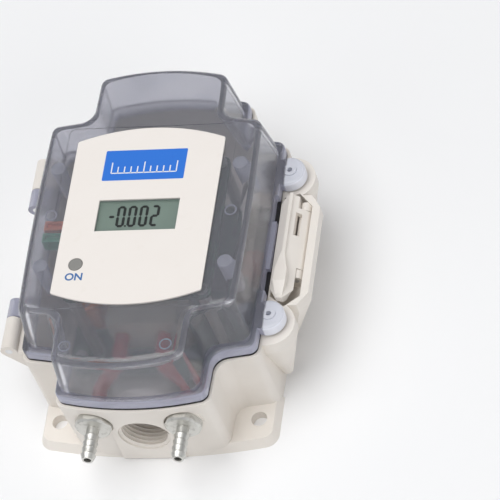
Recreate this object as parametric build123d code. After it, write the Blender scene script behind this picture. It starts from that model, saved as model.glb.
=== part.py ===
from build123d import *
import math
import os

# Frame, in millimetres: the box lies on its flat back.
# Z runs out of the front, Y runs from the hose barbs to the far end, X runs from the hinge to the latch.
# The origin is the centre of the back face.

# Levels above the back
base_top = 38.9
gasket_rise = 1.3
rim_gap = 0.1
front_z = 68.7
floor_t = 2.6

gasket_top = base_top + gasket_rise
rim_z = gasket_top + rim_gap

# How far a cut runs past the face it opens, and the reach of a cut from outside the box
cut_over = 1.0
far_out = 80.0
tiny = 0.01

# Cover outline at the rim, from the middle to the named edge or corner
rim_half_w = 48.9
rim_bulge = 0.9
rim_shoulder_y = 50.4
notch_slope = 2.5
rim_narrow_w = 31.9
narrow_lean = 0.6
rim_end_y = 71.7
end_sag = 3.8

# Cover walls lean inwards from the rim to the front
front_lean_x = 2.9
front_lean_shoulder = 3.5
front_lean_end = 1.0
cover_wall = 2.2
front_round = 3.8
bead_h = 4.6
bead_out = 1.5
bead_round = 1.3
shoulder_r = 3.8
notch_r = 6.4
end_r = 3.8

# Base walls stand a little outside the rim and draw in towards the back
base_margin = 0.9
base_draft_side = 0.3
base_draft_far = 1.5
base_draft_low = 2.5
base_wall = 3.2

# Gasket
gasket_w = 1.4
gasket_inset = 0.2
groove_depth = 0.8
seal_gap = 0.05

# Ears at the barb end and the tab at the far end
ear_h = 4.4
ear_out = 1.7
ear_in = 2.9
ear_r = 6.0
ear_lean = 2.0
ear_top_y = 46.0
ear_hole_r = 3.3
ear_hole_in_x = 8.2
ear_hole_in_y = 10.0
tab_half_w = 9.0
tab_reach = 15.0
tab_h = 4.8
ear_half_w = rim_half_w + ear_out
ear_end_y = rim_end_y - ear_in
ear_hole_x = ear_half_w - ear_hole_in_x
ear_hole_y = ear_end_y - ear_hole_in_y

# Conduit mouth in the barb end wall
conduit_r = 10.65
conduit_z = 19.0
conduit_boss_r = 13.2
conduit_len = 15.0

# Hose barbs
barb_x = 18.8
barb_z = 27.7
barb_flange_r = 7.6
barb_flange_t = 3.3
barb_flange_chamfer = 0.9
barb_stem_r = 2.6
barb_ridge_r = 3.1
barb_ridges = 4
barb_smooth = 3.0
barb_lip = 0.3
barb_ridge_share = 0.8
barb_hex_share = 1.1
barb_reach = 14.3
barb_bore_r = 1.5
barb_thread_r = 4.6
barb_inner_reach = 7.5
barb_tail_r = 1.9
barb_tail_len = 6.0
seat_step = 0.4
seat_r = 8.0
pad_r = 8.1
pad_extra = 1.4
pad_top_gap = 1.3
washer_t = 1.0
nut_across = 12.0
nut_t = 2.6
hole_clear = 0.15
press_clear = 0.02
spot_r = 7.4
spot_depth = 6.0
pad_top_z = base_top - pad_top_gap

# Hinge
hinge_out = 7.1
hinge_rise = 0.9
knuckle_r = 3.5
base_knuckle_far = 47.0
base_knuckle_near = 32.0
cover_knuckle_near = 23.0
knuckle_gap = 0.3
hinge_pin_r = 1.5
pin_clear = 0.04
hinge_root_drop = 12.9
hinge_x = -(rim_half_w + hinge_out)
hinge_z = base_top + hinge_rise
hinge_root_z = base_top - hinge_root_drop
bracket_out = 2.8
bracket_drop = 2.1
arm_h = 2.8

# Screw lobes at the latch side
lobe_out = 3.3
lobe_y = 35.2
lobe_r = 7.0
lobe_h = 5.0
lobe_hole_out = 4.1
lobe_hole_r = 1.1
lobe_ring_r = 2.8
lobe_ring_h = 0.6
column_out = 2.9
column_y = 35.6
column_r = 10.4
column_foot_r = 2.2
column_foot_z = 5.0
column_screw_depth = 12.0
band_h = 5.9
lobe_x = rim_half_w + lobe_out
lobe_hole_x = rim_half_w + lobe_hole_out
column_x = rim_half_w + column_out
band_z = base_top - band_h

# Latch housing and its pocket
housing_out = 17.1
housing_y = 27.0
housing_foot_out = 4.1
housing_foot_y = 20.0
housing_foot_z = 4.0
housing_foot_corner = 1.0
housing_corner = 4.2
housing_corner_len = 6.0
rail_t = 3.3
pocket_out = 1.5
pocket_top_y = 28.0
pocket_high_y = 21.5
pocket_side_y = 22.5
pocket_nose_y = 27.5
pocket_depth = 7.4
pocket_corner = 2.0
housing_x = rim_half_w + housing_out
housing_foot_x = rim_half_w + housing_foot_out
pocket_x = rim_half_w + pocket_out
pocket_floor_z = base_top - pocket_depth

# Latch lever
latch_out = 10.7
latch_drop = 3.0
latch_barrel_r = 2.5
latch_pin_r = 1.2
latch_top_y = 25.0
latch_low_y = -25.4
latch_lip_out = 1.4
latch_ridge_out = 5.9
latch_roof_rise = 3.4
latch_lip_rise = 0.4
latch_lip_t = 1.4
latch_roof_drop = 1.2
latch_skin = 2.6
latch_open_gap = 0.6
latch_rib_w = 1.3
latch_rib_h = 1.7
latch_rib_low_y = -4.5
pad_half_w = 2.6
pad_top_y = -13.0
pad_low_y = -18.3
pad_rise = 2.3
pad_tip_half_w = 1.2
pad_slope = 3.6
barrel_top_y = 19.5
barrel_low_y = -9.0
lug_t = 4.0
lug_gap = 0.3
slot_out = 8.0
slot_w = 2.2
slot_low_y = 6.0
slot_top_y = 17.0
latch_corner_in = 2.1
lip_corner_w = 2.1
lip_corner_len = 3.8
latch_x = rim_half_w + latch_out
latch_z = base_top - latch_drop
latch_lip_x = rim_half_w + latch_lip_out
latch_ridge_x = rim_half_w + latch_ridge_out
latch_roof_z = base_top + latch_roof_rise
latch_lip_low = base_top + latch_lip_rise
pad_z = latch_roof_z + pad_rise
slot_x = rim_half_w + slot_out

# Catch strip on the cover, between two notches in the bead
catch_half = 11.6
notch_half = 23.2
catch_top = 2.4
bead_notch_in = 1.0
bead_notch_x = rim_half_w - bead_notch_in

# Label plate on the front, with its window and button hole
recess_side_in = 12.9
recess_half_w = rim_half_w - recess_side_in
recess_half_h = 44.4
recess_depth = 0.4
recess_r = 3.0
label_y = -1.4
label_sag = 6.0
label_side_gap = 4.65
label_end_gap = 1.15
label_half_w = recess_half_w - label_side_gap
label_half_h = recess_half_h - label_sag - label_end_gap
label_t = 0.7
label_r = 0.8
window_w = 34.0
window_h = 15.3
window_x = -0.6
window_y = -1.4
button_x = -22.8
button_y = -25.0
button_r = 2.9
button_clear = 0.15
button_flange_r = 3.9
button_flange_t = 0.9
button_proud = 0.25
button_travel = 0.8
button_round = 0.4

# Main circuit board on four bosses
board_half_w = 39.0
board_half_h = 40.0
board_z = 12.0
board_t = 1.6
board_corner = 3.0
boss_in_x = 5.0
boss_in_y = 6.0
boss_x = board_half_w - boss_in_x
boss_y = board_half_h - boss_in_y
boss_r = 3.4
boss_hole_r = 1.15
screw_r = 1.1
screw_head_r = 2.5
screw_head_h = 1.8
screw_len = 7.0
screw_clear = 0.4
screw_head_round = 0.7
cross_len = 2.4
cross_w = 0.6
cross_depth = 0.8

# Display board on four spacers, with the display at its front
display_half_w = 31.0
display_half_h = 34.5
display_board_drop = 13.8
display_board_z = front_z - display_board_drop
spacer_in = 3.5
spacer_x = display_half_w - spacer_in
spacer_y = display_half_h - spacer_in
spacer_across = 5.0
frame_rim = 2.4
frame_ledge = 2.0
frame_gap = 0.1
frame_round = 1.5
lcd_w = 39.0
lcd_h = 21.0
lcd_t = 2.8
front_gap = 0.5
switch_side = 6.0
switch_body_h = 3.5
switch_cap_r = 1.7
touch_gap = 0.2

# Pressure sensor and its two tubes
sensor_w = 30.0
sensor_h = 20.0
sensor_t = 18.0
sensor_x = -5.0
sensor_y = -20.0
sensor_round = 1.5
port_rise = 10.8
port_bore_r = 0.95
port_r = 1.9
port_len = 7.0
port_low_x = -14.0
port_high_x = 4.0
tube_r = 3.1
tube_bend_r = 9.0
tube_lead = 10.5
tube_start_gap = 0.3
tube_end_gap = 1.2

# Terminal blocks along the hinge side of the main board
terminal_x = -31.5
terminal_w = 11.0
terminal_h = 13.0
terminal_pitch = 7.5
terminal_groups = {"terminal_block_supply": (12.5, 2), "terminal_block_output": (-8.5, 3)}
wire_hole_r = 1.9
wire_hole_z = 4.5
wire_hole_len = 5.0
well_depth = 4.0
terminal_chamfer = 1.6
terminal_head_r = 1.8
terminal_head_h = 1.8
terminal_slot = (3.2, 0.7, 1.0)

# Small board parts
chip_side = 12.0
chip_t = 1.6
chip_stand = 0.1
chip_legs = 8
leg_pitch = 1.3
leg_w = 0.5
leg_h = 0.6
leg_reach = 1.0
leg_root = 0.2
chip_x = 18.0
chip_y = 4.0
cap_r = 4.0
cap_h = 11.0
cap_round = 0.6
cap_x = 30.0
cap_y = (-6.0, -16.0, 20.0)
dip_w = 7.6
dip_h = 15.4
dip_t = 4.2
dip_x = 31.0
dip_y = 7.0
dip_keys = 6
key_slot = (2.0, 0.7, 1.0)
key_half_w = 0.6
key_len = 1.6
key_proud = 0.4
header_w = 5.0
header_len = 15.0
header_x = 8.0
header_y = 16.0

board_top = board_z + board_t
cover_inner_z = front_z - cover_wall
label_z = front_z - recess_depth
display_front_z = cover_inner_z - front_gap
lcd_z = display_front_z - lcd_t

OUT = "parts"
os.makedirs(OUT, exist_ok=True)
nodes = {}


# Small helpers for solids along an axis
def rod(x, y, z, r, length, direction):
    """A round bar from the point, along the direction."""
    return extrude(Plane((x, y, z), z_dir=direction) * Circle(r), length)


def block(x_low, x_high, y_low, y_high, z_low, z_high):
    """A box between two corners."""
    size = (x_high - x_low, y_high - y_low, z_high - z_low)
    centre = ((x_low + x_high) / 2, (y_low + y_high) / 2, (z_low + z_high) / 2)
    return Pos(*centre) * Box(*size)


def prism(points, z_low, z_high):
    """A polygon in plan, raised between two levels."""
    face = make_face(Polyline(*points, close=True))
    return extrude(Pos(0, 0, z_low) * face, z_high - z_low)


def side_prism(points, y_low, y_high):
    """A polygon of x and z, drawn out along the Y axis."""
    outline = [(x, y_low, z) for x, z in points]
    face = make_face(Polyline(*outline, close=True))
    return extrude(face, y_high - y_low, dir=(0, 1, 0))


def near(value, target):
    """Whether a value is the target, on either side of the middle."""
    return abs(abs(value) - target) < tiny


# The cross-shaped outline that cover, gasket and base share
def cross_outline(z, side=0.0, shoulder=0.0, end=0.0, low_end=None):
    """The rim outline at a level, moved in by the given amounts, as a face."""
    low = end if low_end is None else low_end
    half_w = rim_half_w - side
    narrow = rim_narrow_w - side
    shoulder_y = rim_shoulder_y - shoulder
    notch_y = shoulder_y + notch_slope
    top_y = rim_end_y - end
    low_y = rim_end_y - low
    tip = narrow - narrow_lean
    edges = [
        ThreePointArc((half_w, -shoulder_y), (half_w + rim_bulge, 0), (half_w, shoulder_y)),
        Polyline((half_w, shoulder_y), (narrow, notch_y), (tip, top_y)),
        ThreePointArc((tip, top_y), (0, top_y + end_sag), (-tip, top_y)),
        Polyline((-tip, top_y), (-narrow, notch_y), (-half_w, shoulder_y)),
        ThreePointArc((-half_w, shoulder_y), (-half_w - rim_bulge, 0), (-half_w, -shoulder_y)),
        Polyline((-half_w, -shoulder_y), (-narrow, -notch_y), (-tip, -low_y)),
        ThreePointArc((-tip, -low_y), (0, -low_y - end_sag), (tip, -low_y)),
        Polyline((tip, -low_y), (narrow, -notch_y), (half_w, -shoulder_y)),
    ]
    face = make_face(edges)
    outer = [v for v in face.vertices() if abs(v.X) > half_w - tiny]
    face = fillet(outer, shoulder_r)
    inner = [v for v in face.vertices() if near(v.X, narrow) and near(v.Y, notch_y)]
    face = fillet(inner, notch_r)
    tips = [v for v in face.vertices() if near(v.X, tip) and abs(v.Y) > min(top_y, low_y) - tiny]
    face = fillet(tips, end_r)
    return Pos(0, 0, z) * face


def walls(low_face, high_face):
    """A solid between two outlines, with straight walls."""
    return loft([low_face.face(), high_face.face()], ruled=True)


# Cover
def front_outline(z, inset):
    """The rim outline with the lean of the cover walls taken in, at a level near the front."""
    return cross_outline(z, inset + front_lean_x, inset + front_lean_shoulder, inset + front_lean_end)


def cover_body():
    """The outer form of the cover above its bead."""
    body = walls(
        cross_outline(rim_z, bead_out, bead_out, bead_out),
        front_outline(front_z, bead_out),
    )
    return fillet(body.faces().sort_by(Axis.Z)[-1].edges(), front_round)


def cover_cavity():
    """The room inside the cover."""
    low = bead_out + cover_wall
    return walls(
        cross_outline(rim_z, low, low, low),
        front_outline(cover_inner_z, low),
    )


def cover_bead():
    """The thick rounded rim of the cover, cut away beside the catch strip."""
    bead = extrude(cross_outline(rim_z), bead_h)
    bead = fillet(bead.faces().sort_by(Axis.Z)[-1].edges(), bead_round)
    reach = rim_half_w + rim_bulge + cut_over
    for side in (-1, 1):
        low, high = sorted((side * catch_half, side * notch_half))
        bead -= block(bead_notch_x, reach, low, high, rim_z, rim_z + bead_h)
    bead -= block(bead_notch_x, reach, -catch_half, catch_half, rim_z + catch_top, rim_z + bead_h)
    return bead


def cover_knuckle(side):
    """One cover knuckle with the arm that carries it."""
    low, high = sorted((side * cover_knuckle_near, side * (base_knuckle_near - knuckle_gap)))
    barrel = rod(hinge_x, low, hinge_z, knuckle_r, high - low, (0, 1, 0))
    arm = block(hinge_x, -rim_half_w + cut_over, low, high, rim_z, rim_z + arm_h)
    bore = rod(hinge_x, low, hinge_z, hinge_pin_r + pin_clear, high - low, (0, 1, 0))
    return barrel + arm - bore


def make_cover():
    cover = cover_body() + cover_bead()
    for side in (-1, 1):
        lobe = Pos(lobe_x, side * lobe_y, rim_z) * extrude(Circle(lobe_r), lobe_h)
        lobe = fillet(lobe.faces().sort_by(Axis.Z)[-1].edges(), bead_round)
        ring = Pos(lobe_hole_x, side * lobe_y, rim_z + lobe_h) * extrude(Circle(lobe_ring_r), lobe_ring_h)
        cover += lobe + ring
    cover -= cover_cavity()
    for side in (-1, 1):
        cover -= rod(lobe_hole_x, side * lobe_y, rim_z, lobe_hole_r, lobe_h + lobe_ring_h, (0, 0, 1))
        cover += cover_knuckle(side)
    recess = RectangleRounded(2 * recess_half_w, 2 * recess_half_h, recess_r)
    cover -= extrude(Pos(0, label_y, label_z) * recess, recess_depth)
    cover -= rod(button_x, button_y, cover_inner_z, button_r + button_clear, cover_wall, (0, 0, 1))
    return cover


def make_gasket():
    foot = base_top - groove_depth + seal_gap
    return gasket_ring(foot, gasket_top - foot, 0)


# Base
def base_outline(z, wall=0.0):
    """The outer outline of the base at a level, moved in by a wall."""
    draft = 1 - z / base_top
    inset = wall - base_margin
    side = inset + base_draft_side * draft
    return cross_outline(z, side, side, inset + base_draft_far * draft, inset + base_draft_low * draft)


def base_shell():
    """The outer form of the base and the room inside it."""
    body = walls(base_outline(0), base_outline(base_top))
    room = walls(base_outline(floor_t, base_wall), base_outline(base_top, base_wall))
    return body, room


def ear_plate():
    """The plate that carries the two lower ears."""
    right_low = (ear_half_w, -ear_end_y)
    left_low = (-ear_half_w, -ear_end_y)
    edges = [
        Polyline(right_low, (ear_half_w, -ear_top_y), (-ear_half_w, -ear_top_y), left_low),
        ThreePointArc(left_low, (0, end_wall_y(0)), right_low),
    ]
    face = make_face(edges)
    corners = [v for v in face.vertices() if v.Y < -ear_end_y + tiny]
    face = fillet(corners, ear_r)
    taper = math.degrees(math.atan(ear_lean / ear_h))
    return extrude(face, ear_h, taper=taper)


def tab_tip_y():
    """Where the round end of the far tab has its centre."""
    return rim_end_y + end_sag + tab_reach - tab_half_w


def far_tab():
    """The tab behind the far end, which the top screw goes through."""
    tab = block(-tab_half_w, tab_half_w, rim_end_y - base_wall, tab_tip_y(), 0, tab_h)
    return tab + Pos(0, tab_tip_y(), 0) * extrude(Circle(tab_half_w), tab_h)


def base_knuckle(side):
    """One base knuckle with the gusset that carries it."""
    low, high = sorted((side * base_knuckle_near, side * base_knuckle_far))
    root = -rim_half_w
    profile = [
        (root, hinge_root_z),
        (hinge_x - bracket_out, hinge_z - bracket_drop),
        (hinge_x, hinge_z),
        (root - base_margin, base_top),
        (root, base_top),
    ]
    bracket = side_prism(profile, low, high)
    barrel = rod(hinge_x, low, hinge_z, knuckle_r, high - low, (0, 1, 0))
    bore = rod(hinge_x, low, hinge_z, hinge_pin_r + pin_clear, high - low, (0, 1, 0))
    return bracket + barrel, bore


def housing_plan(x, y, corner, corner_len):
    """The plan of the latch housing, with slanted outer corners, from inside the wall."""
    inner_x = rim_half_w - base_wall
    points = [
        (inner_x, -y),
        (x - corner, -y),
        (x, -y + corner_len),
        (x, y - corner_len),
        (x - corner, y),
        (inner_x, y),
    ]
    return make_face(Polyline(*points, close=True))


def latch_housing():
    """The swelling of the right wall that carries the lobes and the latch."""
    plan = housing_plan(housing_x, housing_y, housing_corner, housing_corner_len)
    foot = housing_plan(housing_foot_x, housing_foot_y, housing_foot_corner, housing_foot_corner)
    housing = walls(Pos(0, 0, housing_foot_z) * foot, Pos(0, 0, band_z) * plan)
    housing += extrude(Pos(0, 0, band_z) * plan, band_h)
    height = band_z - column_foot_z
    for side in (-1, 1):
        column = Cone(column_foot_r, column_r, height)
        housing += Pos(column_x, side * column_y, column_foot_z + height / 2) * column
        housing += rod(column_x, side * column_y, band_z, column_r, band_h, (0, 0, 1))
    return housing


def latch_pocket():
    """The room that the lever lies in, with a pointed lower end."""
    rail_x = housing_x - rail_t
    nose_x = (pocket_x + rail_x) / 2
    plan = [
        (pocket_x, pocket_top_y - pocket_corner),
        (pocket_x, -pocket_side_y),
        (nose_x, -pocket_nose_y),
        (rail_x, -pocket_side_y),
        (rail_x, pocket_high_y),
        (nose_x, pocket_top_y),
    ]
    return prism(plan, pocket_floor_z, base_top + cut_over)


def latch_lug(low, high):
    """One lug that holds the latch pin."""
    foot_z = pocket_floor_z - cut_over
    foot = block(latch_x - latch_barrel_r, latch_x + latch_barrel_r, low, high, foot_z, latch_z)
    return foot + rod(latch_x, low, latch_z, latch_barrel_r, high - low, (0, 1, 0))


def end_wall_y(z):
    """Where the outer face of the barb end wall lies at a level, on the middle line."""
    draft = 1 - z / base_top
    return -(rim_end_y + end_sag + base_margin - base_draft_low * draft)


def conduit_boss():
    """The boss inside the end wall that the conduit thread is cut in."""
    seat_y = end_wall_y(conduit_z) + seat_step
    boss = rod(0, seat_y, conduit_z, conduit_boss_r, conduit_len, (0, 1, 0))
    foot = block(-conduit_boss_r, conduit_boss_r, seat_y, seat_y + conduit_len, floor_t / 2, conduit_z)
    bore = rod(0, seat_y - far_out, conduit_z, conduit_r, far_out + conduit_len, (0, 1, 0))
    return boss + foot, bore


def barb_seats(body):
    """The base with a flat seat outside, a flat pad inside and a hole for each barb."""
    seat = barb_seat_y()
    inner = inner_wall_y()
    for side in (-1, 1):
        x = side * barb_x
        pad = rod(x, seat, barb_z, pad_r, inner - seat, (0, 1, 0))
        body += pad & block(x - pad_r, x + pad_r, seat, inner, floor_t, pad_top_z)
        body -= rod(x, seat - far_out, barb_z, seat_r, far_out, (0, 1, 0))
        body -= rod(x, seat, barb_z, barb_thread_r + hole_clear, inner - seat, (0, 1, 0))
        body -= rod(x, inner, barb_z, spot_r, spot_depth, (0, 1, 0))
    return body


def board_bosses(body):
    """The base with the four bosses of the main board, drilled for their screws."""
    for x in (-boss_x, boss_x):
        for y in (-boss_y, boss_y):
            body += rod(x, y, floor_t / 2, boss_r, board_z - floor_t / 2, (0, 0, 1))
            body -= rod(x, y, floor_t, boss_hole_r, board_z - floor_t, (0, 0, 1))
    return body


def fixing_holes(body):
    """The base drilled for the cover screws and for the wall screws."""
    screw_z = base_top - column_screw_depth
    for side in (-1, 1):
        body -= rod(lobe_hole_x, side * lobe_y, screw_z, lobe_hole_r, column_screw_depth, (0, 0, 1))
        body -= rod(side * ear_hole_x, -ear_hole_y, 0, ear_hole_r, ear_h + cut_over, (0, 0, 1))
    return body - rod(0, tab_tip_y(), 0, ear_hole_r, tab_h, (0, 0, 1))


def gasket_ring(z, height, spare):
    """The ring of the gasket, widened by a little for its groove."""
    outer = [gasket_inset - spare] * 3
    inner = [gasket_inset + gasket_w + spare] * 3
    return extrude(cross_outline(z, *outer), height) - extrude(cross_outline(z, *inner), height)


def make_base():
    body, room = base_shell()
    body += ear_plate()
    body += far_tab()
    body += latch_housing()
    body -= room
    boss, bore = conduit_boss()
    body += boss
    body -= bore
    body = barb_seats(body)
    body = board_bosses(body)
    body = fixing_holes(body)
    for side in (-1, 1):
        knuckle, pin_bore = base_knuckle(side)
        body += knuckle
        body -= pin_bore
    body -= latch_pocket()
    body += latch_lug(barrel_top_y + lug_gap, barrel_top_y + lug_gap + lug_t)
    body += latch_lug(barrel_low_y - lug_gap - lug_t, barrel_low_y - lug_gap)
    pin_low = barrel_low_y - lug_gap - lug_t
    body -= rod(latch_x, pin_low, latch_z, latch_pin_r + pin_clear, latch_pin_len(), (0, 1, 0))
    return body - gasket_ring(base_top - groove_depth, groove_depth, seal_gap)


# Latch
def latch_pin_len():
    return barrel_top_y - barrel_low_y + 2 * (lug_gap + lug_t)


def make_latch():
    roof = [
        (latch_lip_x, latch_lip_low),
        (latch_lip_x, latch_roof_z - latch_roof_drop),
        (latch_ridge_x - latch_rib_w / 2, latch_roof_z),
        (latch_ridge_x + latch_rib_w / 2, latch_roof_z),
        (latch_x + latch_barrel_r / 2, latch_z + latch_barrel_r * math.cos(math.pi / 6)),
        (latch_x, latch_z),
        (latch_ridge_x, latch_roof_z - latch_skin),
        (latch_lip_x + latch_lip_t, latch_lip_low),
    ]
    lever = side_prism(roof, latch_low_y, latch_top_y)
    lever += rod(latch_x, barrel_low_y, latch_z, latch_barrel_r, barrel_top_y - barrel_low_y, (0, 1, 0))
    # Keep the roof clear of the lugs outside the barrel
    for low, high in ((latch_low_y, barrel_low_y), (barrel_top_y, latch_top_y)):
        lever -= rod(latch_x, low, latch_z, latch_barrel_r + latch_open_gap, high - low, (0, 1, 0))
    # Top end, clear of the pocket's corner on one side and of the lobe on the other
    lever -= block(latch_x - latch_corner_in, housing_x, barrel_top_y, latch_top_y, pocket_floor_z, latch_roof_z)
    lip_corner = [
        (latch_lip_x - cut_over, latch_top_y - lip_corner_len),
        (latch_lip_x, latch_top_y - lip_corner_len),
        (latch_lip_x + lip_corner_w, latch_top_y),
        (latch_lip_x + lip_corner_w, latch_top_y + cut_over),
        (latch_lip_x - cut_over, latch_top_y + cut_over),
    ]
    lever -= prism(lip_corner, pocket_floor_z, latch_roof_z)
    # Rib and finger pad
    rib_low = (latch_ridge_x - latch_rib_w / 2, latch_ridge_x + latch_rib_w / 2)
    rib_foot = latch_roof_z - cut_over
    lever += block(*rib_low, latch_rib_low_y, latch_top_y, rib_foot, latch_roof_z + latch_rib_h)
    pad = [
        (rib_low[0], latch_rib_low_y),
        (rib_low[1], latch_rib_low_y),
        (latch_ridge_x + pad_half_w, pad_top_y),
        (latch_ridge_x + pad_half_w, pad_low_y),
        (latch_ridge_x + pad_tip_half_w, latch_low_y),
        (latch_ridge_x - pad_tip_half_w, latch_low_y),
        (latch_ridge_x - pad_half_w, pad_low_y),
        (latch_ridge_x - pad_half_w, pad_top_y),
    ]
    nose = prism(pad, latch_roof_z - latch_skin, pad_z)
    slope = [
        (latch_low_y - cut_over, pad_z - pad_slope),
        (latch_low_y - cut_over, pad_z + cut_over),
        (pad_low_y, pad_z + cut_over),
        (pad_low_y, pad_z),
    ]
    cut_x = latch_ridge_x - 2 * pad_half_w
    cut = make_face(Polyline(*[(cut_x, y, z) for y, z in slope], close=True))
    nose -= extrude(cut, 4 * pad_half_w, dir=(1, 0, 0))
    lever += nose
    # Pointed lower end of the roof
    for side, edge in ((-1, latch_lip_x), (1, latch_x)):
        corner = [
            (edge + side * cut_over, latch_low_y - cut_over),
            (latch_ridge_x, latch_low_y - cut_over),
            (latch_ridge_x + side * pad_tip_half_w, latch_low_y),
            (edge + side * cut_over, pad_low_y),
        ]
        lever -= prism(corner, pocket_floor_z, pad_z + cut_over)
    lever -= block(slot_x, slot_x + slot_w, slot_low_y, slot_top_y, latch_z + latch_pin_r, latch_roof_z)
    bore_len = barrel_top_y - barrel_low_y
    lever -= rod(latch_x, barrel_low_y, latch_z, latch_pin_r + pin_clear, bore_len, (0, 1, 0))
    return lever


# Hose barbs
def barb_seat_y():
    """The flat face that each barb flange sits on."""
    sag = end_sag * (barb_x / rim_narrow_w) ** 2
    return end_wall_y(barb_z) + sag + seat_step


def make_barb(side):
    x = side * barb_x
    seat = barb_seat_y()
    face_y = seat - barb_flange_t
    r_top = barb_flange_r
    tip_y = face_y - barb_reach
    pitch = (barb_reach - barb_smooth) / barb_ridges
    profile = [(barb_bore_r, seat + barb_inner_reach + barb_tail_len)]
    profile += [(barb_bore_r, tip_y), (barb_stem_r - barb_lip, tip_y)]
    for step in range(barb_ridges):
        start = tip_y + step * pitch
        profile += [(barb_ridge_r, start + pitch * barb_ridge_share), (barb_stem_r, start + pitch)]
    profile += [
        (barb_stem_r, face_y),
        (r_top - barb_flange_chamfer, face_y),
        (r_top, face_y + barb_flange_chamfer),
        (r_top, seat),
        (barb_thread_r, seat),
        (barb_thread_r, seat + barb_inner_reach),
        (barb_tail_r, seat + barb_inner_reach),
        (barb_tail_r, seat + barb_inner_reach + barb_tail_len),
    ]
    face = make_face(Polyline(*profile, close=True))
    turned = revolve(face, Axis.Y)
    hexagon = RegularPolygon(barb_flange_r * barb_hex_share, 6)
    outside = Plane((0, seat, 0), x_dir=(1, 0, 0), z_dir=(0, -1, 0))
    flats = extrude(outside * hexagon, barb_flange_t + barb_reach + cut_over)
    flats += rod(0, seat - tiny, 0, barb_thread_r, barb_inner_reach + barb_tail_len + cut_over, (0, 1, 0))
    turned = turned & flats
    return Pos(x, 0, barb_z) * turned


def inner_wall_y():
    return barb_seat_y() + base_wall + pad_extra


def make_washers():
    out = []
    for side in (-1, 1):
        ring = rod(side * barb_x, inner_wall_y(), barb_z, nut_across / 2, washer_t, (0, 1, 0))
        ring -= rod(side * barb_x, inner_wall_y(), barb_z, barb_thread_r + press_clear, washer_t, (0, 1, 0))
        out.append(ring)
    return Compound(children=[p.solid() for p in out])


def make_nuts():
    out = []
    start = inner_wall_y() + washer_t
    for side in (-1, 1):
        plane = Plane((side * barb_x, start, barb_z), x_dir=(1, 0, 0), z_dir=(0, 1, 0))
        nut = extrude(plane * RegularPolygon(nut_across / 2, 6, major_radius=False), nut_t)
        nut -= rod(side * barb_x, start, barb_z, barb_thread_r + press_clear, nut_t, (0, 1, 0))
        out.append(nut)
    return Compound(children=[p.solid() for p in out])


# Pressure sensor and tubes
def port_tip_y():
    return sensor_y - sensor_h / 2 - port_len


def port_z():
    return board_top + port_rise


def make_sensor():
    body = Pos(sensor_x, sensor_y, board_top + sensor_t / 2) * Box(sensor_w, sensor_h, sensor_t)
    body = fillet(body.edges().filter_by(Axis.Z), sensor_round)
    root_y = sensor_y - sensor_h / 2 + cut_over
    for x in (port_low_x, port_high_x):
        body += rod(x, root_y, port_z(), port_r, port_len + cut_over, (0, -1, 0))
        body -= rod(x, port_tip_y(), port_z(), port_bore_r, port_len, (0, 1, 0))
    return body


def make_tube(barb_at, port_at):
    """A tube pushed over a barb tail and a sensor port, in straight runs with tangent arcs."""
    start = barb_seat_y() + barb_inner_reach + tube_start_gap
    end = port_tip_y() + port_len - tube_end_gap
    points = [
        (barb_at, start, barb_z),
        (barb_at, start + tube_lead, barb_z),
        (port_at, end - tube_lead, port_z()),
        (port_at, end, port_z()),
    ]
    path = FilletPolyline(*points, radius=tube_bend_r)
    section = Plane(points[0], z_dir=(0, 1, 0)) * Circle(tube_r)
    tube = sweep(section, path)
    tube -= rod(barb_at, start, barb_z, barb_tail_r + press_clear, barb_tail_len, (0, 1, 0))
    tube -= rod(port_at, end, port_z(), port_r + press_clear, port_len, (0, -1, 0))
    return tube


# Boards and the parts on them
def drilled_board(z, half_w, half_h, hole_x, hole_y, hole_r):
    """A board with rounded corners and four holes."""
    board = Pos(0, 0, z) * extrude(RectangleRounded(2 * half_w, 2 * half_h, board_corner), board_t)
    for x in (-hole_x, hole_x):
        for y in (-hole_y, hole_y):
            board -= rod(x, y, z, hole_r, board_t, (0, 0, 1))
    return board


def make_board():
    return drilled_board(board_z, board_half_w, board_half_h, boss_x, boss_y, screw_r + screw_clear)


def pan_screw(x, y, z, r, length):
    """A pan head screw with a cross recess, its head resting at z."""
    screw = rod(x, y, z, r, length, (0, 0, -1)) + rod(x, y, z, screw_head_r, screw_head_h, (0, 0, 1))
    screw = fillet(screw.faces().sort_by(Axis.Z)[-1].edges(), screw_head_round)
    for turn in (0, 90):
        slot = Box(cross_len, cross_w, cross_depth)
        screw -= Pos(x, y, z + screw_head_h - cross_depth / 2) * Rot(0, 0, turn) * slot
    return screw


def make_board_screws():
    out = []
    for x in (-boss_x, boss_x):
        for y in (-boss_y, boss_y):
            out.append(pan_screw(x, y, board_top, screw_r, screw_len))
    return Compound(children=[p.solid() for p in out])


def make_spacers():
    """Hexagonal spacers, each with a threaded stub and its nut-like cap above the display board."""
    out = []
    for x in (-spacer_x, spacer_x):
        for y in (-spacer_y, spacer_y):
            hexagon = RegularPolygon(spacer_across / 2, 6, major_radius=False)
            post = Pos(x, y, board_top) * extrude(hexagon, display_board_z - board_top)
            post += rod(x, y, display_board_z, screw_r, board_t, (0, 0, 1))
            post += rod(x, y, display_board_z + board_t, screw_head_r, screw_head_h, (0, 0, 1))
            out.append(post)
    return Compound(children=[p.solid() for p in out])


def make_display_board():
    hole_r = screw_r + seal_gap
    return drilled_board(display_board_z, display_half_w, display_half_h, spacer_x, spacer_y, hole_r)


def window_block(half_w, half_h, z_low, z_high):
    """A box behind the window."""
    x_range = (window_x - half_w, window_x + half_w)
    y_range = (window_y - half_h, window_y + half_h)
    return block(*x_range, *y_range, z_low, z_high)


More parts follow.
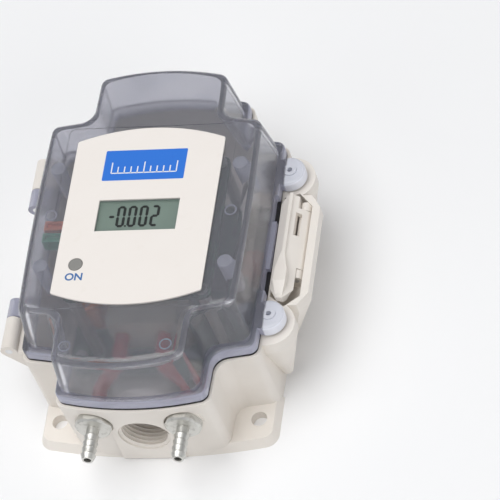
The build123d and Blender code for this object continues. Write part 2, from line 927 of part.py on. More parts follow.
def make_display_frame():
    """The frame that holds the display at its height above the display board."""
    foot = display_board_z + board_t
    frame = window_block(lcd_w / 2 + frame_rim, lcd_h / 2 + frame_rim, foot, display_front_z)
    frame = fillet(frame.edges().filter_by(Axis.Z), frame_round)
    pit_w = lcd_w / 2 + frame_gap
    pit_h = lcd_h / 2 + frame_gap
    frame -= window_block(pit_w, pit_h, lcd_z, display_front_z)
    return frame - window_block(pit_w - frame_ledge, pit_h - frame_ledge, foot, lcd_z)


def make_lcd():
    return window_block(lcd_w / 2, lcd_h / 2, lcd_z, display_front_z)


def make_switch():
    """The tactile switch that the ON button presses."""
    foot = display_board_z + board_t
    cap_foot = foot + switch_body_h
    top = cover_inner_z - button_flange_t - button_travel - touch_gap
    body = Pos(button_x, button_y, foot + switch_body_h / 2) * Box(switch_side, switch_side, switch_body_h)
    return body + rod(button_x, button_y, cap_foot, switch_cap_r, top - cap_foot, (0, 0, 1))


def make_button():
    flange_z = cover_inner_z - button_flange_t
    flange = rod(button_x, button_y, flange_z, button_flange_r, button_flange_t, (0, 0, 1))
    cap_top = label_z + label_t + button_proud
    cap = rod(button_x, button_y, cover_inner_z, button_r, cap_top - cover_inner_z, (0, 0, 1))
    cap = fillet(cap.faces().sort_by(Axis.Z)[-1].edges(), button_round)
    return flange + cap


def make_label():
    right_low = (label_half_w, -label_half_h)
    right_top = (label_half_w, label_half_h)
    left_top = (-label_half_w, label_half_h)
    left_low = (-label_half_w, -label_half_h)
    crown = label_half_h + label_sag
    edges = [
        Line(right_low, right_top),
        ThreePointArc(right_top, (0, crown), left_top),
        Line(left_top, left_low),
        ThreePointArc(left_low, (0, -crown), right_low),
    ]
    face = make_face(edges)
    face = fillet(face.vertices(), label_r)
    label = Pos(0, label_y, label_z) * extrude(face, label_t)
    label -= window_block(window_w / 2, window_h / 2, label_z, label_z + label_t)
    label -= rod(button_x, button_y, label_z, button_r + button_clear, label_t, (0, 0, 1))
    return label


def pole_centres(y_mid, poles):
    """The Y of each pole of a terminal row."""
    first = y_mid - (poles - 1) * terminal_pitch / 2
    return [first + pole * terminal_pitch for pole in range(poles)]


def make_terminals(y_mid, poles):
    """A row of wire terminals, each with its wire mouth and screw well."""
    left = terminal_x - terminal_w / 2
    well_z = board_top + terminal_h - well_depth
    length = poles * terminal_pitch
    body = Pos(terminal_x, y_mid, board_top + terminal_h / 2) * Box(terminal_w, length, terminal_h)
    body = chamfer(body.edges().filter_by(Axis.Y).sort_by(Axis.Z)[-2:], terminal_chamfer)
    for y in pole_centres(y_mid, poles):
        body -= rod(left, y, board_top + wire_hole_z, wire_hole_r, wire_hole_len, (1, 0, 0))
        body -= rod(terminal_x, y, well_z, wire_hole_r, well_depth, (0, 0, 1))
    return body


def make_terminal_screws():
    out = []
    well_z = board_top + terminal_h - well_depth
    for y_mid, poles in terminal_groups.values():
        for y in pole_centres(y_mid, poles):
            head = rod(terminal_x, y, well_z, terminal_head_r, terminal_head_h, (0, 0, 1))
            out.append(head - Pos(terminal_x, y, well_z + terminal_head_h) * Box(*terminal_slot))
    return Compound(children=[p.solid() for p in out])


def make_capacitors():
    out = []
    for y in cap_y:
        can = rod(cap_x, y, board_top, cap_r, cap_h, (0, 0, 1))
        out.append(fillet(can.faces().sort_by(Axis.Z)[-1].edges(), cap_round))
    return Compound(children=[p.solid() for p in out])


def make_range_switch():
    """The row of small slide keys that sets the range."""
    body = Pos(dip_x, dip_y, board_top + dip_t / 2) * Box(dip_w, dip_h, dip_t)
    pitch = dip_h / dip_keys
    half_w, half_h, depth = key_slot
    foot = board_top + dip_t - depth
    for key in range(dip_keys):
        y = dip_y - dip_h / 2 + (key + 0.5) * pitch
        body -= block(dip_x - half_w, dip_x + half_w, y - half_h, y + half_h, foot, foot + depth)
        body += block(dip_x - key_len, dip_x, y - key_half_w, y + key_half_w, foot, foot + depth + key_proud)
    return body


def make_processor():
    half = chip_side / 2
    height = chip_t - chip_stand
    body = Pos(chip_x, chip_y, board_top + chip_stand + height / 2) * Box(chip_side, chip_side, height)
    leg_len = leg_root + leg_reach
    for turn in range(4):
        for pin in range(chip_legs):
            shift = (pin - (chip_legs - 1) / 2) * leg_pitch
            spot = Pos(half - leg_root + leg_len / 2, shift, board_top + leg_h / 2)
            body += Pos(chip_x, chip_y, 0) * Rot(0, 0, 90 * turn) * spot * Box(leg_len, leg_w, leg_h)
    return body


def make_header():
    """The stacking header that joins the two boards."""
    height = display_board_z - board_top
    return Pos(header_x, header_y, board_top + height / 2) * Box(header_len, header_w, height)


def make_pin(side):
    low, high = sorted((side * cover_knuckle_near, side * base_knuckle_far))
    return rod(hinge_x, low, hinge_z, hinge_pin_r, high - low, (0, 1, 0))


def make_latch_pin():
    pin_low = barrel_low_y - lug_gap - lug_t
    return rod(latch_x, pin_low, latch_z, latch_pin_r, latch_pin_len(), (0, 1, 0))


nodes["base"] = make_base()
nodes["cover"] = make_cover()
nodes["gasket"] = make_gasket()
nodes["hinge_pin_lower"] = make_pin(-1)
nodes["hinge_pin_upper"] = make_pin(1)
nodes["latch"] = make_latch()
nodes["latch_pin"] = make_latch_pin()
nodes["label_plate"] = make_label()
nodes["on_button"] = make_button()
nodes["tactile_switch"] = make_switch()
nodes["lcd_panel"] = make_lcd()
nodes["display_frame"] = make_display_frame()
nodes["display_board"] = make_display_board()
nodes["display_spacers"] = make_spacers()
nodes["board_header"] = make_header()
nodes["circuit_board"] = make_board()
nodes["board_screws"] = make_board_screws()
nodes["pressure_sensor"] = make_sensor()
nodes["tube_low"] = make_tube(-barb_x, port_low_x)
nodes["tube_high"] = make_tube(barb_x, port_high_x)
nodes["hose_barb_low"] = make_barb(-1)
nodes["hose_barb_high"] = make_barb(1)
nodes["barb_washers"] = make_washers()
nodes["barb_nuts"] = make_nuts()
for name, (y_mid, poles) in terminal_groups.items():
    nodes[name] = make_terminals(y_mid, poles)
nodes["terminal_screws"] = make_terminal_screws()
nodes["capacitors"] = make_capacitors()
nodes["range_switch"] = make_range_switch()
nodes["processor"] = make_processor()

for name, shape in nodes.items():
    export_step(shape, os.path.join(OUT, name + ".step"))
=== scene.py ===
"""Looks of a wall-mounted pressure transmitter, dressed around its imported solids.

The box lies on its back: Z runs out of the front, Y away from the hose barbs, X towards the latch.
"""

from __future__ import annotations

import logging
import math
from dataclasses import dataclass
from enum import Enum
from typing import Union

import bpy
from mathutils import Euler, Matrix, Vector


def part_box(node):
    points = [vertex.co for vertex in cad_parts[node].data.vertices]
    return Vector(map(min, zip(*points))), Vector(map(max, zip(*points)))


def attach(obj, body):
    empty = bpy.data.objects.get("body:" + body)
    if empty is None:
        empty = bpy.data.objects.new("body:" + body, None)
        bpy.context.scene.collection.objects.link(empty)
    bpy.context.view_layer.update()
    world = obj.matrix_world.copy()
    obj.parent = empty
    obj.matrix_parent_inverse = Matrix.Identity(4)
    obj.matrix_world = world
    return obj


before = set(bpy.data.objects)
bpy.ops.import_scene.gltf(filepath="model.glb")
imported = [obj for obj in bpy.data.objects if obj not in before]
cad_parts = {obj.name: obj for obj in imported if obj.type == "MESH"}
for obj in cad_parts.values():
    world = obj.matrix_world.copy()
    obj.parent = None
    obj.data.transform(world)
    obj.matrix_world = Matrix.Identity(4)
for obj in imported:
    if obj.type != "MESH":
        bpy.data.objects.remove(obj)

log = logging.getLogger("pressure_transmitter")

Number = Union[int, float]
Pair = tuple[float, float]
Triple = tuple[float, float, float]
Colour = Triple

MM = 0.001
BOX_FINISH = "moulded_box"

# The display curve that paint undoes
TOP_LEVEL = 255
CURVE_KNEE = 0.04045
CURVE_SLOPE = 12.92
CURVE_LIFT = 0.055
CURVE_SPAN = 1.055
CURVE_POWER = 2.4

# The colour sockets of a Mix node, by number
MIX_FACTOR, MIX_FIRST, MIX_SECOND = 0, 6, 7
MIX_RESULT = 2


def paint(red: Number, green: Number, blue: Number) -> Colour:
    """Turns a colour given on a 0 to 255 scale into linear light.

    Args:
        red: Red, 0 to 255.
        green: Green, 0 to 255.
        blue: Blue, 0 to 255.

    Returns:
        The same colour as linear values from 0 to 1.
    """
    def linear(level: Number) -> float:
        """Undoes the display curve for one channel."""
        share = level / TOP_LEVEL
        if share <= CURVE_KNEE:
            return share / CURVE_SLOPE
        return ((share + CURVE_LIFT) / CURVE_SPAN) ** CURVE_POWER

    return linear(red), linear(green), linear(blue)


def rgba(colour: Colour) -> tuple[float, float, float, float]:
    """Adds full opacity to a colour."""
    return (*colour, 1.0)


# ---------------------------------------------------------------------------
# Shader arithmetic
# ---------------------------------------------------------------------------


@dataclass(frozen=True)
class Spots:
    """A soft noise: the size of its spots, its finer layers, how dense it lies along each axis."""

    size_mm: float
    detail: float
    stretch: Triple = (1, 1, 1)


@dataclass(frozen=True)
class Fade:
    """Where a mask starts to change, and over how wide a range."""

    edge: float
    soft: float

    @property
    def metres(self) -> "Fade":
        """A fade given in millimetres, in metres."""
        return Fade(self.edge * MM, self.soft * MM)


@dataclass(frozen=True)
class Relief:
    """How deep and how strong a bump is."""

    depth_mm: float
    strength: float


@dataclass(frozen=True)
class Wire:
    """One output of a shader graph that can be used in plain sums."""

    graph: "Graph"
    socket: bpy.types.NodeSocket

    def _math(self, operation: str, first: "Term", second: "Term") -> "Wire":
        """Adds a Math node for two terms."""
        inputs = {0: first, 1: second}
        return self.graph.wire("ShaderNodeMath", {"operation": operation}, inputs)

    def __add__(self, other: "Term") -> "Wire":
        """Adds a term."""
        return self._math("ADD", self, other)

    def __radd__(self, other: "Term") -> "Wire":
        """Adds this to a term."""
        return self._math("ADD", other, self)

    def __sub__(self, other: "Term") -> "Wire":
        """Takes a term away."""
        return self._math("SUBTRACT", self, other)

    def __rsub__(self, other: "Term") -> "Wire":
        """Takes this away from a term."""
        return self._math("SUBTRACT", other, self)

    def __mul__(self, other: "Term") -> "Wire":
        """Multiplies by a term."""
        return self._math("MULTIPLY", self, other)

    def __abs__(self) -> "Wire":
        """The size of the value, without its sign."""
        return self._math("ABSOLUTE", self, 0.0)

    def below(self, fade: Fade) -> "Wire":
        """A mask that is 1 under an edge and falls to 0 over a soft width.

        Args:
            fade: The edge and the soft width.

        Returns:
            The mask, from 0 to 1.
        """
        limits = {1: fade.edge, 2: fade.edge + fade.soft, 3: 1.0, 4: 0.0}
        settings = {"interpolation_type": "SMOOTHSTEP"}
        return self.graph.wire("ShaderNodeMapRange", settings, {0: self, **limits})

    def above(self, fade: Fade) -> "Wire":
        """A mask that is 0 under an edge and rises to 1 over a soft width."""
        return 1 - self.below(fade)


Term = Union[Wire, Number]


class Graph:
    """A material's node graph, built one node at a time."""

    def __init__(self, name: str) -> None:
        """Starts an empty graph in a new material."""
        self.material = bpy.data.materials.new(name)
        self.material.use_nodes = True
        self.tree = self.material.node_tree
        self.tree.nodes.clear()
        self.place = self.wire("ShaderNodeTexCoord", {}, {}, "Object")

    def wire(self, kind: str, settings: dict, inputs: dict, output: Union[int, str] = 0) -> Wire:
        """Adds a node.

        Args:
            kind: The node's type.
            settings: Its properties, set first.
            inputs: A value or a Wire for each socket, by name or number.
            output: The output to take.

        Returns:
            The chosen output.
        """
        node = self.tree.nodes.new(kind)
        for name, value in settings.items():
            setattr(node, name, value)
        for name, value in inputs.items():
            if isinstance(value, Wire):
                self.tree.links.new(value.socket, node.inputs[name])
            else:
                node.inputs[name].default_value = value
        return Wire(self, node.outputs[output])

    def along(self, axis: str) -> Wire:
        """The object coordinate along X, Y or Z, in metres."""
        return self.wire("ShaderNodeSeparateXYZ", {}, {0: self.place}, axis)

    def noise(self, spots: Spots) -> Wire:
        """A soft noise, from 0 to 1."""
        place = self.wire("ShaderNodeMapping", {}, {"Vector": self.place, "Scale": spots.stretch})
        scale = 1 / (spots.size_mm * MM)
        inputs = {"Vector": place, "Scale": scale, "Detail": spots.detail}
        return self.wire("ShaderNodeTexNoise", {}, inputs)

    def mix(self, share: Term, first: Union[Wire, Colour], second: Union[Wire, Colour]) -> Wire:
        """Mixes two colours by a share."""
        ends = [end if isinstance(end, Wire) else rgba(end) for end in (first, second)]
        inputs = {MIX_FACTOR: share, MIX_FIRST: ends[0], MIX_SECOND: ends[1]}
        return self.wire("ShaderNodeMix", {"data_type": "RGBA"}, inputs, MIX_RESULT)

    def bump(self, height: Wire, relief: Relief) -> Wire:
        """Surface relief from a height of 0 to 1."""
        depth = relief.depth_mm * MM
        inputs = {"Height": height, "Distance": depth, "Strength": relief.strength}
        return self.wire("ShaderNodeBump", {}, inputs)

    def surface(self, **values: Union[Term, tuple]) -> bpy.types.Material:
        """Ends the graph in one principled surface.

        Args:
            values: The shader's sockets, with underscores for spaces.

        Returns:
            The finished material.
        """
        return self.ended(self.shader(**values))

    def shader(self, **values: Union[Term, tuple]) -> Wire:
        """One principled shader, from its sockets with underscores for spaces."""
        inputs = {name.replace("_", " "): value for name, value in values.items()}
        return self.wire("ShaderNodeBsdfPrincipled", {}, inputs)

    def blend(self, share: Term, first: Wire, second: Wire) -> Wire:
        """Mixes two shaders by a share."""
        return self.wire("ShaderNodeMixShader", {}, {0: share, 1: first, 2: second})

    def ended(self, shader: Wire) -> bpy.types.Material:
        """Joins a shader to the material's output and returns the finished material."""
        output = self.tree.nodes.new("ShaderNodeOutputMaterial")
        self.tree.links.new(shader.socket, output.inputs["Surface"])
        return self.material


# ---------------------------------------------------------------------------
# Finishes
# ---------------------------------------------------------------------------


@dataclass(frozen=True)
class MouldedPlastic:
    """Opaque injection-moulded plastic with a fine spark-eroded grain."""

    colour: Colour
    shade: Colour
    roughness: float = 0.42
    cloud: Spots = Spots(26, 3)
    cloud_fade: Fade = Fade(0.35, 0.4)
    cloud_share: float = 0.8
    flow: Spots = Spots(7, 4, (1, 1, 2.5))
    flow_share: float = 0.2
    flow_rough: float = 0.1
    grain: Spots = Spots(0.35, 2)
    grain_relief: Relief = Relief(0.03, 0.35)
    worn: Spots = Spots(3.2, 6)
    worn_fade: Fade = Fade(0.6, 0.14)
    worn_polish: float = 0.3
    rub: float = 0.25
    ior: float = 1.5

    def material(self, name: str) -> bpy.types.Material:
        """Builds the finish."""
        graph = Graph(name)
        cloud = graph.noise(self.cloud).above(self.cloud_fade)
        flow = graph.noise(self.flow)
        worn = graph.noise(self.worn).above(self.worn_fade)
        shaded = cloud * self.cloud_share + flow * self.flow_share
        grain = graph.noise(self.grain) * (1 - worn * self.rub)
        return graph.surface(
            Base_Color=graph.mix(shaded, self.colour, self.shade),
            Roughness=self.roughness + flow * self.flow_rough - worn * self.rub * self.worn_polish,
            Normal=graph.bump(grain, self.grain_relief),
            IOR=self.ior,
        )


@dataclass(frozen=True)
class SmokyPlastic:
    """Smoky see-through plastic with a polished window, a milky rim bead and paler lobes. The
    bead's lighter colour is partly a painted highlight, and a dark painted shade lies on its hinge
    side.
    """

    tint: Colour
    deep: Colour
    milk: Colour
    window_mm: tuple[float, float, float, float]
    pale: Colour = paint(238, 240, 249)
    # partly a painted highlight: the bead's lighter lavender stands in for the bright line along
    # the rim, besides a milkier rim
    rim: Colour = paint(206, 207, 225)
    # painted shade: a dark rim colour for the hinge-side band of the bead
    thick: Colour = paint(112, 112, 123)
    clear: Colour = (0.97, 0.98, 0.975)
    window_soft_mm: float = 0.5
    lobes_x_mm: Fade = Fade(50.6, 1.0)
    bead_z_mm: Fade = Fade(44.4, 0.6)
    painted_shade_from_x_mm: Fade = Fade(-51.6, 0.5)
    painted_shade_to_x_mm: Fade = Fade(-47.4, 1.2)
    cloud: Spots = Spots(22, 2)
    cloud_fade: Fade = Fade(0.4, 0.3)
    cloud_tint: float = 0.6
    flow: Spots = Spots(9, 3, (1, 0.4, 1))
    flow_tint: float = 0.2
    ripple: Spots = Spots(3, 2)
    ripple_relief: Relief = Relief(0.02, 0.2)
    roughness: float = 0.08
    flow_rough: float = 0.06
    milk_roughness: float = 0.35
    milk_flow_rough: float = 0.1
    milk_share: float = 0.12
    cloud_share: float = 0.06
    bead_milk_and_highlight_share: float = 0.32
    lobe_share: float = 0.62
    ior: float = 1.46

    def window(self, graph: Graph) -> Wire:
        """A mask of the polished window, from its middle and size."""
        middle_x, middle_y, width, height = (value * MM for value in self.window_mm)
        soft = self.window_soft_mm * MM
        across = abs(graph.along("X") - middle_x).below(Fade(width / 2, soft))
        up = abs(graph.along("Y") - middle_y).below(Fade(height / 2, soft))
        return across * up

    def material(self, name: str) -> bpy.types.Material:
        """Builds the finish."""
        graph = Graph(name)
        cloud = graph.noise(self.cloud)
        flow = graph.noise(self.flow)
        relief = graph.bump(graph.noise(self.ripple), self.ripple_relief)
        across = graph.along("X")
        lobes = across.above(self.lobes_x_mm.metres)
        bead = graph.along("Z").below(self.bead_z_mm.metres)
        hinge_from = across.above(self.painted_shade_from_x_mm.metres)
        hinge_painted_shade_mask = hinge_from * across.below(self.painted_shade_to_x_mm.metres)
        depth = cloud.above(self.cloud_fade) * self.cloud_tint + flow * self.flow_tint
        smoke = graph.shader(
            Base_Color=graph.mix(lobes, graph.mix(depth, self.tint, self.deep), self.clear),
            Roughness=self.roughness + flow * self.flow_rough,
            Normal=relief,
            IOR=self.ior,
            Transmission_Weight=1.0,
        )
        # painted shade: on the hinge side the bead's colour turns dark
        rim = graph.mix(hinge_painted_shade_mask, self.rim, self.thick)
        milk = graph.shader(
            Base_Color=graph.mix(lobes, graph.mix(bead, self.milk, rim), self.pale),
            Roughness=self.milk_roughness + flow * self.milk_flow_rough,
            Normal=relief,
        )
        glass = graph.shader(
            Base_Color=rgba(self.clear), Roughness=0.0, IOR=self.ior, Transmission_Weight=1.0
        )
        haze = self.milk_share + cloud * self.cloud_share
        # the bead takes extra milk: partly a milkier rim, partly a painted highlight
        hazy = graph.blend(haze + bead * self.bead_milk_and_highlight_share + lobes * self.lobe_share, smoke, milk)
        return graph.ended(graph.blend(self.window(graph), hazy, glass))


@dataclass(frozen=True)
class CloudedPlastic:
    """See-through plastic with milky streaks, such as the pillars inside the cover."""

    tint: Colour
    milk: Colour
    flow: Spots = Spots(5, 3, (1, 1, 0.3))
    roughness: float = 0.1
    flow_rough: float = 0.06
    milk_roughness: float = 0.3
    milk_flow_rough: float = 0.1
    milk_share: float = 0.4
    flow_share: float = 0.2
    ior: float = 1.46

    def material(self, name: str) -> bpy.types.Material:
        """Builds the finish."""
        graph = Graph(name)
        flow = graph.noise(self.flow)
        smoke = graph.shader(
            Base_Color=rgba(self.tint),
            Roughness=self.roughness + flow * self.flow_rough,
            IOR=self.ior,
            Transmission_Weight=1.0,
        )
        milk = graph.shader(
            Base_Color=rgba(self.milk),
            Roughness=self.milk_roughness + flow * self.milk_flow_rough,
        )
        return graph.ended(graph.blend(self.milk_share + flow * self.flow_share, smoke, milk))


@dataclass(frozen=True)
class PaleMark:
    """Pale colour on a mark in clear plastic, a painted highlight along its rim."""

    light: Colour
    dark: Colour
    flow: Spots = Spots(2, 3)
    roughness: float = 0.2
    flow_rough: float = 0.1
    ior: float = 1.46

    def material(self, name: str) -> bpy.types.Material:
        """Builds the finish."""
        graph = Graph(name)
        flow = graph.noise(self.flow)
        tone = graph.mix(flow, self.light, self.dark)
        rough = self.roughness + flow * self.flow_rough
        return graph.surface(Base_Color=tone, Roughness=rough, IOR=self.ior)


@dataclass(frozen=True)
class Rubber:
    """Dull or polished elastomer, such as the gasket, washers and tubes."""

    colour: Colour
    roughness: float = 0.6
    bloom: float = 0.25
    dust: Spots = Spots(4, 5)
    dust_fade: Fade = Fade(0.55, 0.2)
    dust_rough: float = 0.3
    grey_keep: float = 0.6
    grey_lift: float = 0.08
    skin: Spots = Spots(0.6, 3)
    skin_relief: Relief = Relief(0.03, 0.4)

    def material(self, name: str) -> bpy.types.Material:
        """Builds the finish."""
        graph = Graph(name)
        dusty = graph.noise(self.dust).above(self.dust_fade) * self.bloom
        grey = tuple(self.grey_keep * level + self.grey_lift for level in self.colour)
        return graph.surface(
            Base_Color=graph.mix(dusty, self.colour, grey),
            Roughness=self.roughness + dusty * self.dust_rough,
            Normal=graph.bump(graph.noise(self.skin), self.skin_relief),
        )


class Lay(Enum):
    """Which way the fine tool marks on a metal run."""

    ROUND_Y = (1.0, 40.0, 1.0)
    EVEN = (6.0, 6.0, 6.0)


@dataclass(frozen=True)
class SatinMetal:
    """Plated or ground metal with fine tool marks and slight tarnish."""

    colour: Colour
    tarnish: Colour
    lay: Lay = Lay.EVEN
    roughness: float = 0.32
    mark_mm: float = 3.0
    mark_detail: float = 3
    mark_rough: float = 0.12
    mark_relief: Relief = Relief(0.02, 0.5)
    stain: Spots = Spots(2.4, 5)
    stain_fade: Fade = Fade(0.5, 0.25)
    stain_share: float = 0.7
    stain_rough: float = 0.14

    def material(self, name: str) -> bpy.types.Material:
        """Builds the finish."""
        graph = Graph(name)
        marks = graph.noise(Spots(self.mark_mm, self.mark_detail, self.lay.value))
        stain = graph.noise(self.stain).above(self.stain_fade)
        return graph.surface(
            Base_Color=graph.mix(stain * self.stain_share, self.colour, self.tarnish),
            Roughness=self.roughness + stain * self.stain_rough + marks * self.mark_rough,
            Metallic=1.0,
            Normal=graph.bump(marks, self.mark_relief),
        )


@dataclass(frozen=True)
class PrintedSheet:
    """A printed plastic sheet or a patch of ink on it."""

    colour: Colour
    edge: Colour
    roughness: float = 0.38
    tone: Spots = Spots(14, 3)
    tone_share: float = 0.5
    fibre: Spots = Spots(0.4, 2)
    fibre_relief: Relief = Relief(0.012, 0.3)
    smudge: Spots = Spots(5, 5)
    smudge_fade: Fade = Fade(0.6, 0.16)
    smudge_share: float = 0.35
    smudge_rough: float = 0.12

    def material(self, name: str) -> bpy.types.Material:
        """Builds the finish."""
        graph = Graph(name)
        smudge = graph.noise(self.smudge).above(self.smudge_fade)
        share = graph.noise(self.tone) * self.tone_share + smudge * self.smudge_share
        return graph.surface(
            Base_Color=graph.mix(share, self.colour, self.edge),
            Roughness=self.roughness + smudge * self.smudge_rough,
            Normal=graph.bump(graph.noise(self.fibre), self.fibre_relief),
        )


@dataclass(frozen=True)
class BoardLacquer:
    """Green solder mask with copper runs under it."""

    mask: Colour
    run: Colour
    pitch_mm: float = 1.6
    drift: Spots = Spots(9, 1)
    drift_m: float = 0.012
    run_fade: Fade = Fade(0.55, 0.25)
    patch: Spots = Spots(7, 1)
    patch_fade: Fade = Fade(0.48, 0.05)
    run_relief: Relief = Relief(0.04, 0.6)
    roughness: float = 0.3
    flux: Spots = Spots(5, 3)
    flux_rough: float = 0.1

    def material(self, name: str) -> bpy.types.Material:
        """Builds the finish."""
        graph = Graph(name)
        drift = graph.noise(self.drift) * self.drift_m
        turns = (graph.along("X") + drift) * (2 * math.pi / (self.pitch_mm * MM))
        wave = graph.wire("ShaderNodeMath", {"operation": "SINE"}, {0: turns})
        runs = wave.above(self.run_fade) * graph.noise(self.patch).above(self.patch_fade)
        return graph.surface(
            Base_Color=graph.mix(runs, self.mask, self.run),
            Roughness=self.roughness + graph.noise(self.flux) * self.flux_rough,
            Normal=graph.bump(runs, self.run_relief),
        )


@dataclass(frozen=True)
class DisplayGlass:
    """The face of a liquid crystal display, with a faint painted glow that lifts the shade under
    the label's window edges.
    """

    colour: Colour
    corner: Colour
    # painted light: a faint glow that lifts the shade which the label's window edges cast on the
    # display face
    painted_glow: Colour = (0.1, 0.132, 0.116)
    glow_strength: float = 1.0
    tone: Spots = Spots(12, 2)
    film: Spots = Spots(0.3, 1)
    film_relief: Relief = Relief(0.005, 0.3)
    roughness: float = 0.3
    smear: Spots = Spots(9, 2)
    smear_rough: float = 0.05

    def material(self, name: str) -> bpy.types.Material:
        """Builds the finish."""
        graph = Graph(name)
        return graph.surface(
            Base_Color=graph.mix(graph.noise(self.tone), self.colour, self.corner),
            Roughness=self.roughness + graph.noise(self.smear) * self.smear_rough,
            Normal=graph.bump(graph.noise(self.film), self.film_relief),
            Emission_Color=rgba(self.painted_glow),
            Emission_Strength=self.glow_strength,
        )


@dataclass(frozen=True)
class StudioFloor:
    """Matt pale board under the object."""

    dark: Colour = (0.93, 0.93, 0.93)
    light: Colour = (0.95, 0.95, 0.95)
    tone: Spots = Spots(400, 2)
    roughness: float = 0.85

    def material(self, name: str) -> bpy.types.Material:
        """Builds the finish."""
        graph = Graph(name)
        tone = graph.mix(graph.noise(self.tone), self.dark, self.light)
        return graph.surface(Base_Color=tone, Roughness=self.roughness)


Finish = Union[
    MouldedPlastic, SmokyPlastic, Rubber, SatinMetal, PrintedSheet, BoardLacquer, DisplayGlass
]


# ---------------------------------------------------------------------------
# Modelling by hand
# ---------------------------------------------------------------------------


class Side(Enum):
    """The side of a piece to which a face lies outermost, as a direction."""

    LEFT = (-1.0, 0.0, 0.0)
    FOOT = (0.0, 0.0, -1.0)
    TOP = (0.0, 0.0, 1.0)


class Bench:
    """Starts, shapes and finishes pieces with Blender's own tools."""

    @staticmethod
    def clear() -> None:
        """Deselects everything, the solids from the frame among them."""
        if bpy.context.object and bpy.context.object.mode != "OBJECT":
            bpy.ops.object.mode_set(mode="OBJECT")
        bpy.ops.object.select_all(action="DESELECT")

    @staticmethod
    def pick(piece: bpy.types.Object) -> None:
        """Makes a piece the active one and the only one selected."""
        Bench.clear()
        bpy.context.view_layer.objects.active = piece
        piece.select_set(True)

    @staticmethod
    def named(name: str) -> bpy.types.Object:
        """Names the active object."""
        piece = bpy.context.object
        piece.name = name
        piece.data.name = name
        return piece

    @staticmethod
    def apply(
        piece: bpy.types.Object, kind: str, **settings: Union[float, int, str, bool]
    ) -> None:
        """Adds a modifier and applies it.

        Args:
            piece: The object.
            kind: The modifier's type.
            settings: The modifier's properties.
        """
        Bench.pick(piece)
        modifier = piece.modifiers.new(kind.title(), kind)
        for name, value in settings.items():
            setattr(modifier, name, value)
        bpy.ops.object.modifier_apply(modifier=modifier.name)

    @staticmethod
    def settle(piece: bpy.types.Object) -> None:
        """Moves the object's place into its mesh, so that the object sits at the origin."""
        Bench.pick(piece)
        bpy.ops.object.transform_apply(location=True, rotation=True, scale=True)

    @staticmethod
    def join(name: str, pieces: list[bpy.types.Object]) -> bpy.types.Object:
        """Joins pieces into one object.

        Args:
            name: The new object's name.
            pieces: What is joined.

        Returns:
            The joined object.
        """
        Bench.clear()
        for piece in pieces:
            piece.select_set(True)
        bpy.context.view_layer.objects.active = pieces[0]
        bpy.ops.object.join()
        return Bench.named(name)

    @staticmethod
    def smooth(piece: bpy.types.Object, degrees: float) -> None:
        """Shades a piece smooth except over edges sharper than an angle."""
        Bench.pick(piece)
        bpy.ops.object.shade_smooth_by_angle(angle=math.radians(degrees))

    @staticmethod
    def slab(
        name: str, centre: Vector, size: Pair, thick: float, round_mm: float, steps: int = 4
    ) -> bpy.types.Object:
        """A flat block with rounded or square corners, drawn up from a plane.

        Args:
            name: The block's name.
            centre: The middle of its lower face.
            size: Its width and height, in metres.
            thick: Its thickness, in metres.
            round_mm: The radius of its corners, 0 for square ones.
            steps: How many segments a corner has.

        Returns:
            The block.
        """
        Bench.clear()
        bpy.ops.mesh.primitive_plane_add(size=1, location=centre)
        piece = Bench.named(name)
        piece.scale = (size[0], size[1], 1)
        Bench.settle(piece)
        bpy.ops.object.mode_set(mode="EDIT")
        bpy.ops.mesh.select_all(action="SELECT")
        if round_mm:
            bpy.ops.mesh.bevel(offset=round_mm * MM, segments=steps, affect="VERTICES")
        bpy.ops.mesh.select_all(action="SELECT")
        bpy.ops.mesh.extrude_region_move(TRANSFORM_OT_translate={"value": (0, 0, thick)})
        bpy.ops.mesh.select_all(action="SELECT")
        bpy.ops.mesh.normals_make_consistent(inside=False)
        bpy.ops.object.mode_set(mode="OBJECT")
        return piece

    @staticmethod
    def hollow(piece: bpy.types.Object, side: Side, rim_mm: float, depth_mm: float) -> None:
        """Sinks the outermost face on one side into a piece, inside a rim.

        Args:
            piece: The piece.
            side: The side.
            rim_mm: The width of the rim that stays.
            depth_mm: How deep the face goes in.
        """
        Bench.pick(piece)
        bpy.ops.object.mode_set(mode="EDIT")
        bpy.ops.mesh.select_mode(type="FACE")
        bpy.ops.mesh.select_all(action="DESELECT")
        bpy.ops.object.mode_set(mode="OBJECT")
        out = Vector(side.value)
        face = max(piece.data.polygons, key=lambda polygon: polygon.center.dot(out))
        face.select = True
        bpy.ops.object.mode_set(mode="EDIT")
        bpy.ops.mesh.inset(thickness=rim_mm * MM)
        inwards = tuple(-share * depth_mm * MM for share in side.value)
        bpy.ops.mesh.extrude_region_move(TRANSFORM_OT_translate={"value": inwards})
        bpy.ops.object.mode_set(mode="OBJECT")

    @staticmethod
    def dress(piece: bpy.types.Object, material: bpy.types.Material) -> None:
        """Gives a piece one material."""
        piece.data.materials.clear()
        piece.data.materials.append(material)

    @staticmethod
    def hand_over(
        piece: bpy.types.Object, material: bpy.types.Material, body: str, slot: str
    ) -> None:
        """Dresses a piece and lets it ride on a body, with a line in the log.

        Args:
            piece: The piece.
            material: Its material.
            body: The body that it rides on.
            slot: Not used.
        """
        Bench.dress(piece, material)
        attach(piece, body)
        log.info("%s rides on %s with %d faces", piece.name, body, len(piece.data.polygons))


# ---------------------------------------------------------------------------
# Sub-assemblies
# ---------------------------------------------------------------------------


